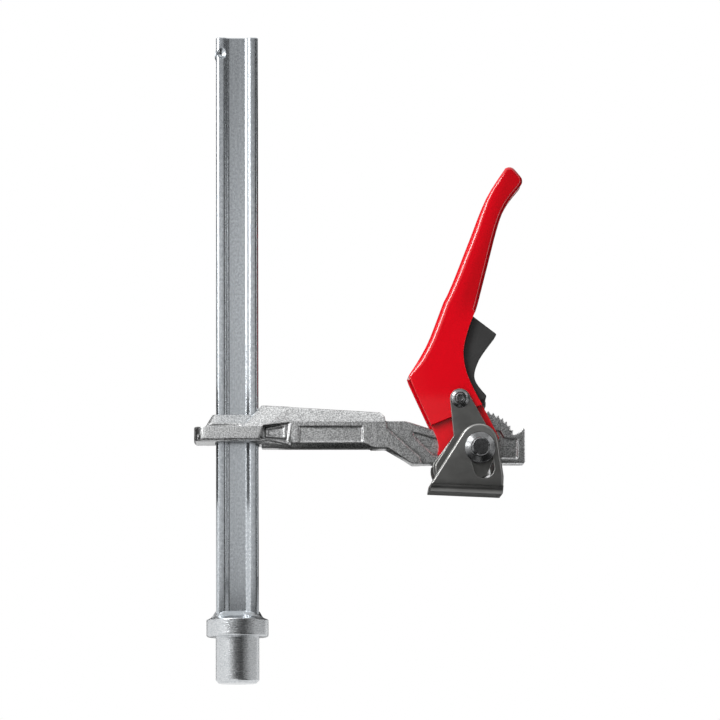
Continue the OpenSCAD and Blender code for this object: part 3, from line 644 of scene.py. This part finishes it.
lever.data.attributes.new("bevel_weight_edge", "FLOAT", "EDGE")
mesh = bmesh.new()
mesh.from_mesh(lever.data)
layer = mesh.edges.layers.float["bevel_weight_edge"]
for edge in mesh.edges:
    edge[layer] = fold_weight(edge)
mesh.to_mesh(lever.data)
mesh.free()
use_modifier(lever, "BEVEL", width=FOLD_RADIUS, segments=7, limit_method="WEIGHT",
             use_clamp_overlap=False, loop_slide=False)
round_edges(lever, 0.35, sharper_than=50)
dress(lever, "lever", "lever_assembly", red_enamel, "red_enamel")

# %% [markdown]
# ## Pressed foot
#
# The foot is blanked and folded from thick sheet. Blanking draws the edge of the outer face in, so
# the ears have a broad soft rim that catches the light, while the slot, punched from the same side,
# has a smaller one. Edges near the slot's middle line are left to the small round.

# %% pressed foot
FOOT_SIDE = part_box("pressure_foot")[1].y
SLOT_TOP, SLOT_END = Vector((155.9, 0, 124.1)) * MM, Vector((158.8, 0, 107.8)) * MM
SLOT_REACH = 9 * MM


def ear_rim(edge):
    """True for edges of the ears' outer faces that aren't part of the slot."""
    if turn_of(edge) < 40 or any(abs(abs(v.co.y) - FOOT_SIDE) > 0.05 * MM for v in edge.verts):
        return False
    middle = (edge.verts[0].co + edge.verts[1].co) / 2
    middle.y = 0
    along = SLOT_END - SLOT_TOP
    t = max(0, min(1, (middle - SLOT_TOP).dot(along) / along.length_squared))
    return (middle - SLOT_TOP - along * t).length > SLOT_REACH


foot = copy_of("pressure_foot")
bevel_where(foot, ear_rim, 1.7, 5)
round_edges(foot, 0.45, sharper_than=40)
dress(foot, "pressure_foot", "foot", sheet_with_painted_light, "dark_sheet")

# %% [markdown]
# ## Coned washers and the rivet
#
# The washers on both pins are pressed to a low cone, so one side shines and the other is dark. A
# thin disc is added at the solid's place, its outer face is extruded and drawn in, and the rim is
# bevelled. The rivet's ends get the small hollow that the riveting tool leaves.

# %% washers and rivet
def coned_washer(node, body, rim_mm, top_share):
    """A disc at the solid's place whose outer face rises to a cone."""
    low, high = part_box(node)
    outward = 1 if low.y > 0 else -1
    inner_y, outer_y = (low.y, high.y) if outward > 0 else (high.y, low.y)
    rim_y = inner_y + outward * rim_mm * MM
    bpy.ops.object.select_all(action="DESELECT")
    bpy.ops.mesh.primitive_cylinder_add(
        vertices=96, radius=(high.x - low.x) / 2, depth=rim_mm * MM, rotation=(math.pi / 2, 0, 0),
        location=((low.x + high.x) / 2, (inner_y + rim_y) / 2, (low.z + high.z) / 2))
    piece = bpy.context.object
    piece.name = node + "_finished"
    bpy.ops.object.transform_apply(location=True, rotation=True, scale=True)
    bpy.ops.object.mode_set(mode="EDIT")
    select_where(piece, "FACE", lambda face: face.normal.y * outward > 0.9)
    bpy.ops.mesh.extrude_region_move(TRANSFORM_OT_translate={"value": (0, outer_y - rim_y, 0)})
    bpy.ops.transform.resize(value=(top_share, 1, top_share))
    bpy.ops.object.mode_set(mode="OBJECT")
    round_edges(piece, 0.4, sharper_than=20)
    dress(piece, node, body, pin_steel, "pin_steel")


for side in ("front", "rear"):
    coned_washer("pivot_washer_" + side, "foot_pivot", 0.9, 0.62)
    coned_washer("rivet_washer_" + side, "lever_assembly", 0.5, 0.66)

rivet = copy_of("lever_rivet")
pick_only(rivet)
bpy.ops.object.mode_set(mode="EDIT")
select_where(rivet, "FACE", lambda face: abs(face.normal.y) > 0.99)
bpy.ops.mesh.inset(thickness=0.9 * MM)
bpy.ops.mesh.inset(thickness=0.5 * MM, depth=-0.7 * MM)
bpy.ops.object.mode_set(mode="OBJECT")
round_edges(rivet, 0.15)
dress(rivet, "lever_rivet", "lever_assembly", pin_steel, "pin_steel")

# %% [markdown]
# ## Weld and spring
#
# The rail is welded to the bolt all round, and the weld pool spread into a hollow skirt from the
# collar up to the rail. A disc is extruded up in two steps and drawn in to the rail's section, then
# remeshed, made uneven by a noise and smoothed. The spring's six-sided wire is made round.

# %% weld and spring
WELD_RADIUS = 18.8 * MM
WELD_FOOT = 11.2 * MM
WELD_STEPS = ((2.0, 0.86, 0.66), (3.4, 0.88, 0.62))

bpy.ops.object.select_all(action="DESELECT")
bpy.ops.mesh.primitive_circle_add(vertices=64, radius=WELD_RADIUS, fill_type="NGON",
                                  location=(0, 0, WELD_FOOT))
weld = bpy.context.object
weld.name = "weld_beads_finished"
bpy.ops.object.transform_apply(location=True, rotation=True, scale=True)
bpy.ops.object.mode_set(mode="EDIT")
bpy.ops.mesh.select_all(action="SELECT")
for rise, wide, deep in WELD_STEPS:
    bpy.ops.mesh.extrude_region_move(TRANSFORM_OT_translate={"value": (0, 0, rise * MM)})
    bpy.ops.transform.resize(value=(wide, deep, 1))
bpy.ops.mesh.select_all(action="SELECT")
bpy.ops.mesh.normals_make_consistent(inside=False)
bpy.ops.object.mode_set(mode="OBJECT")
weld.data.remesh_voxel_size = 0.45 * MM
pick_only(weld)
bpy.ops.object.voxel_remesh()
ripples = bpy.data.textures.new("weld ripples", "CLOUDS")
ripples.noise_scale = 5 * MM
use_modifier(weld, "DISPLACE", texture=ripples, strength=0.9 * MM, mid_level=0.5,
             texture_coords="LOCAL")
use_modifier(weld, "SMOOTH", factor=0.5, iterations=14)
dress(weld, "weld_beads", "rail_assembly", weld_metal, "bolt_steel", smooth=60, flat_faces=False)

spring = copy_of("trigger_spring")
use_modifier(spring, "SUBSURF", levels=2, render_levels=2)
dress(spring, "trigger_spring", "lever_assembly", spring_wire, "spring_wire", smooth=60,
      flat_faces=False)

# %% [markdown]
# ## Floor
#
# The clamp stands on a pale floor. The camera looks from below the floor's level, as through a
# glass table, so the floor's underside is clear, and mirrors see past it to the white of the room.
# The floor also fades out round the clamp, as paper that curves up does, so that no horizon shows.

# %% floor
FADE_FROM, FADE_FULL = 0.3, 0.9
CLOUD_MM = 1000 / 3

floor_paint, tree, place = new_material("pale floor")
shader = tree.nodes["Principled BSDF"]
dust = add_node(tree, "ShaderNodeTexNoise", {"Scale": per_metre(CLOUD_MM), "Detail": 2}, {"Vector": place})
tone = add_node(tree, "ShaderNodeMix", {MIX_A: linear("#f4f4f4"), MIX_B: linear("#f8f8f8")}, {0: dust},
                data_type="RGBA")
tree.links.new(output_of(tone), shader.inputs["Base Color"])
shader.inputs["Roughness"].default_value = 0.9
under = add_node(tree, "ShaderNodeNewGeometry").outputs["Backfacing"]
reach = add_node(tree, "ShaderNodeVectorMath", links={0: place}, operation="LENGTH")
far = add_node(tree, "ShaderNodeMapRange", {"From Min": FADE_FROM, "From Max": FADE_FULL},
               {"Value": reach}, interpolation_type="SMOOTHSTEP")
gone = add_node(tree, "ShaderNodeMath", links={0: under, 1: far}, operation="MAXIMUM")
clear = add_node(tree, "ShaderNodeBsdfTransparent")
either = add_node(tree, "ShaderNodeMixShader", links={0: gone, 1: shader, 2: clear})
tree.links.new(output_of(either), tree.nodes["Material Output"].inputs["Surface"])

bpy.ops.object.select_all(action="DESELECT")
bpy.ops.mesh.primitive_plane_add(size=24, location=(0, 0, cad_box[0].z - 0.5 * MM))
floor = bpy.context.object
floor.name = "floor"
floor.visible_glossy = False
floor.data.materials.append(floor_paint)
floor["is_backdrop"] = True
print("floor at", round(floor.location.z, 4))

# %% [markdown]
# ## Lamps
#
# Paint and plastic need soft light from lamps: a key on the left, a box above, a weak fill on the
# right and a key behind. Metal shows only what it mirrors, so the lamps themselves are kept out of
# the mirrors, and the cards below give the metal what it should see.

# %% lamps
MIDDLE = Vector((0.08, 0, 0.18))


def softbox(name, azimuth, elevation, distance, width, height, watts):
    """A lamp that faces the clamp. Azimuth is from the camera's side, positive to the right."""
    a, e = math.radians(azimuth), math.radians(elevation)
    away = Vector((math.sin(a) * math.cos(e), -math.cos(a) * math.cos(e), math.sin(e)))
    bpy.ops.object.light_add(type="AREA", location=MIDDLE + away * distance)
    lamp = bpy.context.object
    lamp.name = name
    lamp.rotation_mode = "QUATERNION"
    lamp.rotation_quaternion = away.to_track_quat("Z", "Y")
    lamp.data.shape = "RECTANGLE"
    lamp.data.size = width
    lamp.data.size_y = height
    lamp.data.energy = watts
    lamp.visible_glossy = False
    print("lamp:", name, watts, "W")


softbox("left key", -45, 34, 1.5, 0.6, 1.2, 26)
softbox("top box", -10, 72, 1.5, 1.2, 0.8, 8)
softbox("right fill", 75, 20, 1.8, 0.8, 1.2, 0.8)
softbox("rear key", -145, 30, 1.8, 0.8, 1.0, 14)

# %% [markdown]
# ## World
#
# The camera and the mirrors see a plain white room. Matt faces get only a little light from it, so
# that the lamps still model them.

# %% world
AMBIENT = 0.18

world = bpy.data.worlds.new("studio")
bpy.context.scene.world = world
world.use_nodes = True
tree = world.node_tree
ambient = tree.nodes["Background"]
ambient.inputs["Color"].default_value = (1, 1, 1, 1)
ambient.inputs["Strength"].default_value = AMBIENT
white = add_node(tree, "ShaderNodeBackground", {"Color": (1, 1, 1, 1), "Strength": 1.0})
rays = add_node(tree, "ShaderNodeLightPath").outputs
seen = add_node(tree, "ShaderNodeMath", operation="MAXIMUM",
                links={0: rays["Is Camera Ray"], 1: rays["Is Glossy Ray"]})
seen_all = add_node(tree, "ShaderNodeMath", operation="MAXIMUM",
                    links={0: seen, 1: rays["Is Transmission Ray"]})
chosen = add_node(tree, "ShaderNodeMixShader", links={0: seen_all, 1: ambient, 2: white})
tree.links.new(output_of(chosen), tree.nodes["World Output"].inputs["Surface"])
print("world: white to the camera,", AMBIENT, "as light")

# %% [markdown]
# ## Cards
#
# In a white room bright metal looks like chalk. Photographers hang grey and black cards round it so
# that its bends show dark bands. Each card here is a plane with its corners set, that only mirrors
# see. The scrim in front fades from white on the left to black on the right.

# %% cards
def card(name, corners, level):
    """A four-cornered card. A level of four numbers fades from the first to the second between
    the two places along X that follow."""
    bpy.ops.object.select_all(action="DESELECT")
    bpy.ops.mesh.primitive_plane_add(size=1)
    piece = bpy.context.object
    piece.name = name
    for vertex, corner in zip(piece.data.vertices, corners):
        vertex.co = corner
    material = bpy.data.materials.new(name + " cloth")
    material.use_nodes = True
    tree = material.node_tree
    tree.nodes.remove(tree.nodes["Principled BSDF"])
    glow = add_node(tree, "ShaderNodeEmission", {"Color": (1, 1, 1, 1)})
    if isinstance(level, tuple):
        first, second, x_first, x_second = level
        place = add_node(tree, "ShaderNodeTexCoord").outputs["Object"]
        parts = add_node(tree, "ShaderNodeSeparateXYZ", links={"Vector": place})
        fade = add_node(tree, "ShaderNodeMapRange",
                        {"From Min": x_first, "From Max": x_second, "To Min": first, "To Max": second},
                        {"Value": parts.outputs["X"]})
        tree.links.new(output_of(fade), glow.inputs["Strength"])
    else:
        glow.inputs["Strength"].default_value = level
    tree.links.new(output_of(glow), tree.nodes["Material Output"].inputs["Surface"])
    piece.data.materials.append(material)
    for ray in ("camera", "diffuse", "shadow", "transmission"):
        setattr(piece, "visible_" + ray, False)
    piece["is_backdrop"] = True


def standing(start, end, low, high):
    """Corners of an upright card between two places in plan and two heights."""
    return [(*start, low), (*end, low), (*start, high), (*end, high)]


def upright(x0, x1, y, low, high):
    """Corners of an upright card square to the view."""
    return standing((x0, y), (x1, y), low, high)


def sloping(x0, x1, front, back):
    """Corners of a card between a front and a back edge, each given by its Y and its height."""
    return [(x0, *front), (x1, *front), (x0, *back), (x1, *back)]


CARDS = [
    ("scrim front low", upright(-0.20, 0.80, -0.80, 0.03, 0.25), (1.0, 0.10, -0.10, 0.24)),
    ("scrim front", upright(-0.20, 0.80, -0.80, 0.25, 0.45), (1.0, 0.03, -0.03, 0.17)),
    ("scrim front high", upright(-0.20, 0.80, -0.80, 0.45, 1.0), (0.6, 0.03, -0.10, 0.16)),
    ("scrim front left low", upright(-0.80, -0.20, -0.81, -0.45, 0.03), (0.30, 0.80, -0.80, -0.20)),
    ("shelf under the eye", sloping(-0.06, 0.026, (-0.25, 0.035), (-0.04, 0.005)), 0.04),
    ("shelf under the bar", sloping(0.030, 0.115, (-0.25, 0.04), (0.25, 0.04)), 0.03),
    ("flag behind the bar", upright(0.030, 0.095, 0.10, 0.04, 0.116), 0.03),
    ("veil for the foot", standing((-0.146, -0.202), (-0.064, -0.288), 0.235, 0.325), 1.6),
    ("dark table right", sloping(0.03, 0.80, (-0.80, 0.03), (-0.10, -0.45)), 0.04),
    ("side card right low", standing((0.95, -0.80), (0.95, 0.70), -0.5, 0.16), 0.7),
    ("side card right", standing((0.95, -0.80), (0.95, 0.70), 0.16, 0.9), 0.12),
    ("side card left rear", standing((-0.65, 0.10), (-0.20, 0.65), 0.13, 0.9), 0.04),
    ("flag by the eye", standing((-0.05, -0.05), (-0.05, 0.09), 0.09, 0.165), 0.02),
    ("flag over the eye", standing((-0.05, 0.005), (-0.05, 0.10), 0.165, 0.22), 0.02),
    ("bolt flag left", upright(-0.18, -0.03, -0.17, -0.055, 0.034), (0.85, 0.06, -0.18, -0.03)),
    ("bolt flag middle", upright(-0.03, 0.10, -0.17, -0.055, 0.034), 0.06),
    ("bolt flag right", upright(0.10, 0.16, -0.17, -0.055, 0.034), (0.06, 0.80, 0.10, 0.16)),
    ("flag for the foot", upright(0.10, 0.24, -0.20, -0.02, 0.136), 0.04),
    ("overhead card", sloping(-0.5, 0.35, (-0.35, 0.75), (0.35, 0.75)), 1.15),
    ("flag right of the lever", standing((0.33, -0.13), (0.24, 0.30), 0.15, 0.42), 0.02),
    ("flag behind the bolt", upright(-0.075, 0.075, 0.12, -0.03, 0.05), 0.05),
    ("flag above the bar", sloping(0.012, 0.10, (0.25, 0.165), (0.10, 0.55)), 0.02),
    ("flag behind the foot", upright(0.095, 0.28, 0.10, 0.03, 0.086), 0.02),
    ("scrim rear", upright(-0.64, 0.36, 0.80, 0.10, 1.0), (0.03, 1.0, 0.0, 0.26)),
    ("shelf behind the eye", sloping(-0.06, 0.03, (0.04, 0.03), (0.25, 0.03)), 0.04),
]
for name, corners, level in CARDS:
    card(name, corners, level)
print("cards:", len(CARDS))

# %% [markdown]
# ## Bright strips
#
# Enamel mirrors a lamp as a thin line along each fold, and that line tells how tight the fold is.
# Long bright strips that lean as the lever does draw these lines. They are cards too, so no matt
# face gets light from them.

# %% strips
GRIP = Vector((0.14, 0, 0.25))
STRIP_LEAN = math.radians(20)


def strip(name, middle, width, length, level):
    """A bright strip that leans as the lever does and faces its grip."""
    middle = Vector(middle)
    toward = (GRIP - middle).normalized()
    lean = Vector((math.sin(STRIP_LEAN), 0, math.cos(STRIP_LEAN)))
    side = toward.cross(lean).normalized() * (width / 2)
    up = side.cross(toward).normalized() * (length / 2)
    corners = [middle - side - up, middle + side - up, middle - side + up, middle + side + up]
    card(name, corners, level)
    print("strip:", name)


strip("lever strip left", (-0.66, -0.77, 0.73), 0.40, 0.7, 14)
strip("lever strip right", (0.327, -0.177, 0.237), 0.05, 0.3, 2.2)
strip("lever strip rear", (-0.66, 0.77, 0.73), 0.30, 0.7, 14)

# %% [markdown]
# ## Last
#
# The view is set to show colours as they are written. The two boxes, of the solids and of the
# finished clamp, are written down so that they can be compared.

# %% finish
bpy.context.scene.view_settings.view_transform = "Standard"
visual_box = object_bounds()
for name, box in (("cad", cad_box), ("visual", visual_box)):
    print(name, [round(v, 4) for p in box for v in p])
